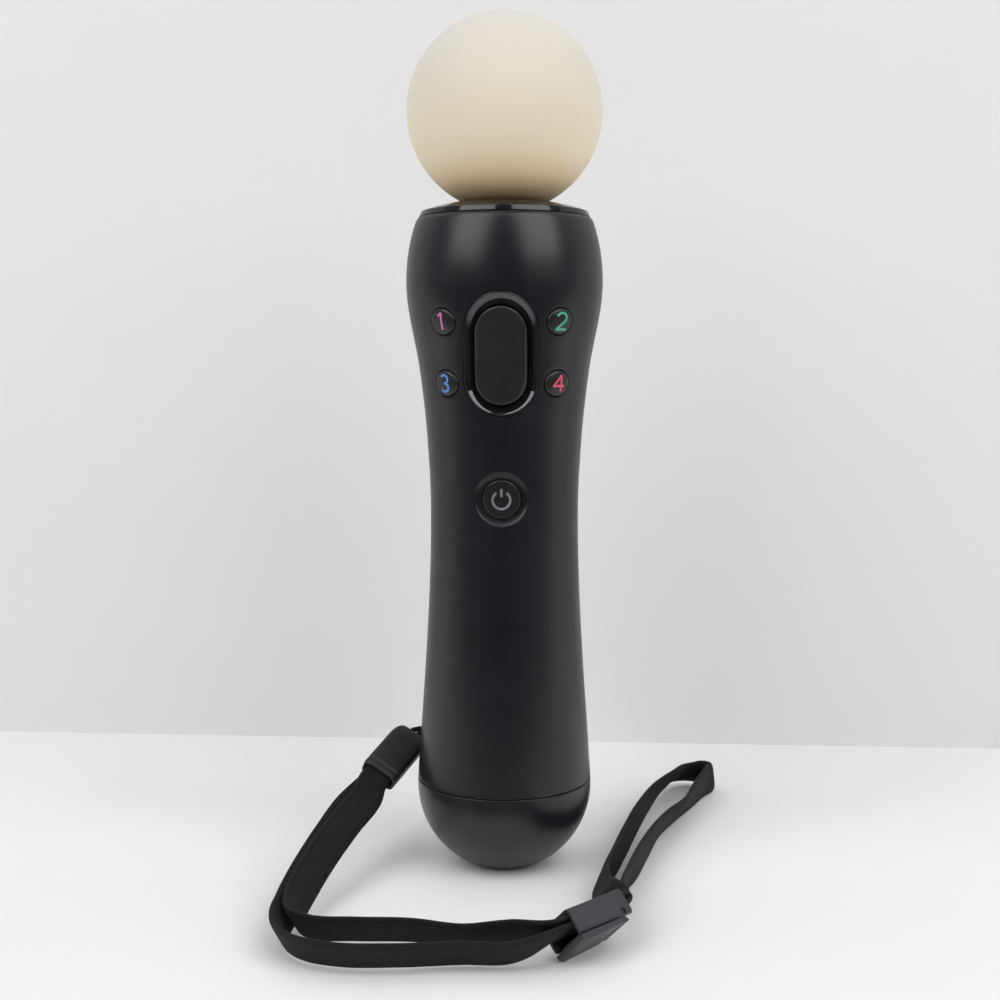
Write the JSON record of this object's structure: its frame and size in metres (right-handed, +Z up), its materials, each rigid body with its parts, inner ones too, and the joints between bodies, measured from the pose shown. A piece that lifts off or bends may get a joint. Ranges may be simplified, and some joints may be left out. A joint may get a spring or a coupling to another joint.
{
  "type": "motion controller wand",
  "caption": "Upright hand-held motion controller wand with a soft light ball, thumb buttons, a finger trigger and a wrist strap with sleeve and lock.",
  "frame": {"origin": "centre of the flat resting face of the end cap", "axes": "+Z up along the handle, thumb buttons towards -Y, +X to the right as seen from the front"},
  "size_m": [0.1036, 0.1299, 0.2007],
  "materials": {
    "shell_black": "fine matte texture",
    "cap_black": "satin",
    "gloss_black": "polished",
    "orb_ivory": "soft matte, translucent",
    "clear_guide": "clear",
    "board_green": "solder mask",
    "led_white": "moulded",
    "button_black": "satin",
    "trigger_black": "satin",
    "steel": "plain",
    "screw_black": "blackened",
    "weight_grey": "sintered",
    "keypad_grey": "matte",
    "frame_grey": "moulded",
    "chip_black": "moulded",
    "switch_grey": "moulded",
    "battery_blue": "shrink wrap",
    "contact_gold": "plated",
    "ribbon_amber": "film",
    "band_black": "woven",
    "sleeve_black": "matte",
    "lock_grey": "satin"
  },
  "bodies": {
    "handle": {"front_shell": "shell_black", "rear_shell": "shell_black", "end_cap": "cap_black", "light_orb": "orb_ivory", "orb_collar": "gloss_black", "light_guide": "clear_guide", "led_board": "board_green", "rgb_led": "led_white", "oval_bezel": "gloss_black", "trigger_pin": "steel", "trigger_spring": "steel", "keypad": "keypad_grey", "keypad_backer": "frame_grey", "main_board": "board_green", "board_chips": "chip_black", "shield_can": "steel", "side_switches": "switch_grey", "inner_frame": "frame_grey", "battery": "battery_blue", "motor": "steel", "motor_boot": "keypad_grey", "io_board": "board_green", "io_screws": "steel", "usb_socket": "steel", "extension_socket": "chip_black", "charge_contacts": "contact_gold", "io_ribbon": "ribbon_amber", "case_screws": "screw_black", "strap_pin": "steel", "strap_lanyard": "band_black", "strap_sleeve": "sleeve_black", "strap_band": "band_black", "lock_body": "lock_grey", "lock_pin": "steel"},
    "oval_button": {"oval_button": "button_black"},
    "button_1": {"button_1": "button_black"},
    "button_2": {"button_2": "button_black"},
    "button_3": {"button_3": "button_black"},
    "button_4": {"button_4": "button_black"},
    "home_button": {"home_button": "button_black"},
    "start_button": {"start_button": "button_black"},
    "select_button": {"select_button": "button_black"},
    "trigger": {"trigger": "trigger_black"},
    "motor_weight": {"motor_weight": "weight_grey"},
    "lock_lever": {"lock_lever": "lock_grey"}
  },
  "joints": [
    {"name": "button_1_press", "type": "slide", "parent": "handle", "child": "button_1", "axis": [0.5976, 0.8018, 0], "range_m": [0, 0.001], "stiffness_N_per_m": 900},
    {"name": "button_2_press", "type": "slide", "parent": "handle", "child": "button_2", "axis": [-0.5976, 0.8018, 0], "range_m": [0, 0.001], "stiffness_N_per_m": 900},
    {"name": "button_3_press", "type": "slide", "parent": "handle", "child": "button_3", "axis": [0.6388, 0.7694, 0], "range_m": [0, 0.001], "stiffness_N_per_m": 900},
    {"name": "button_4_press", "type": "slide", "parent": "handle", "child": "button_4", "axis": [-0.6388, 0.7694, 0], "range_m": [0, 0.001], "stiffness_N_per_m": 900},
    {"name": "oval_button_press", "type": "slide", "parent": "handle", "child": "oval_button", "axis": [0, 1, 0], "range_m": [0, 0.001], "stiffness_N_per_m": 900},
    {"name": "home_button_press", "type": "slide", "parent": "handle", "child": "home_button", "axis": [0, 1, 0], "range_m": [0, 0.001], "stiffness_N_per_m": 900},
    {"name": "start_button_press", "type": "slide", "parent": "handle", "child": "start_button", "axis": [-1, 0, 0], "range_m": [0, 0.001], "stiffness_N_per_m": 900},
    {"name": "select_button_press", "type": "slide", "parent": "handle", "child": "select_button", "axis": [1, 0, 0], "range_m": [0, 0.001], "stiffness_N_per_m": 900},
    {"name": "trigger_pull", "type": "hinge", "parent": "handle", "child": "trigger", "pos_m": [0, 0.0155, 0.138], "axis": [-1, 0, 0], "range_deg": [0, 12], "stiffness_Nm_per_rad": 0.25, "deforming": ["trigger_spring"]},
    {"name": "motor_spin", "type": "hinge", "parent": "handle", "child": "motor_weight", "pos_m": [0, 0.002, 0.095], "axis": [0, 0, 1], "continuous": true},
    {"name": "lock_open", "type": "hinge", "parent": "handle", "child": "lock_lever", "pos_m": [0.02411, -0.05158, 0.00544], "axis": [0.5129, -0.4867, 0.7071], "range_deg": [0, 70]}
  ]
}
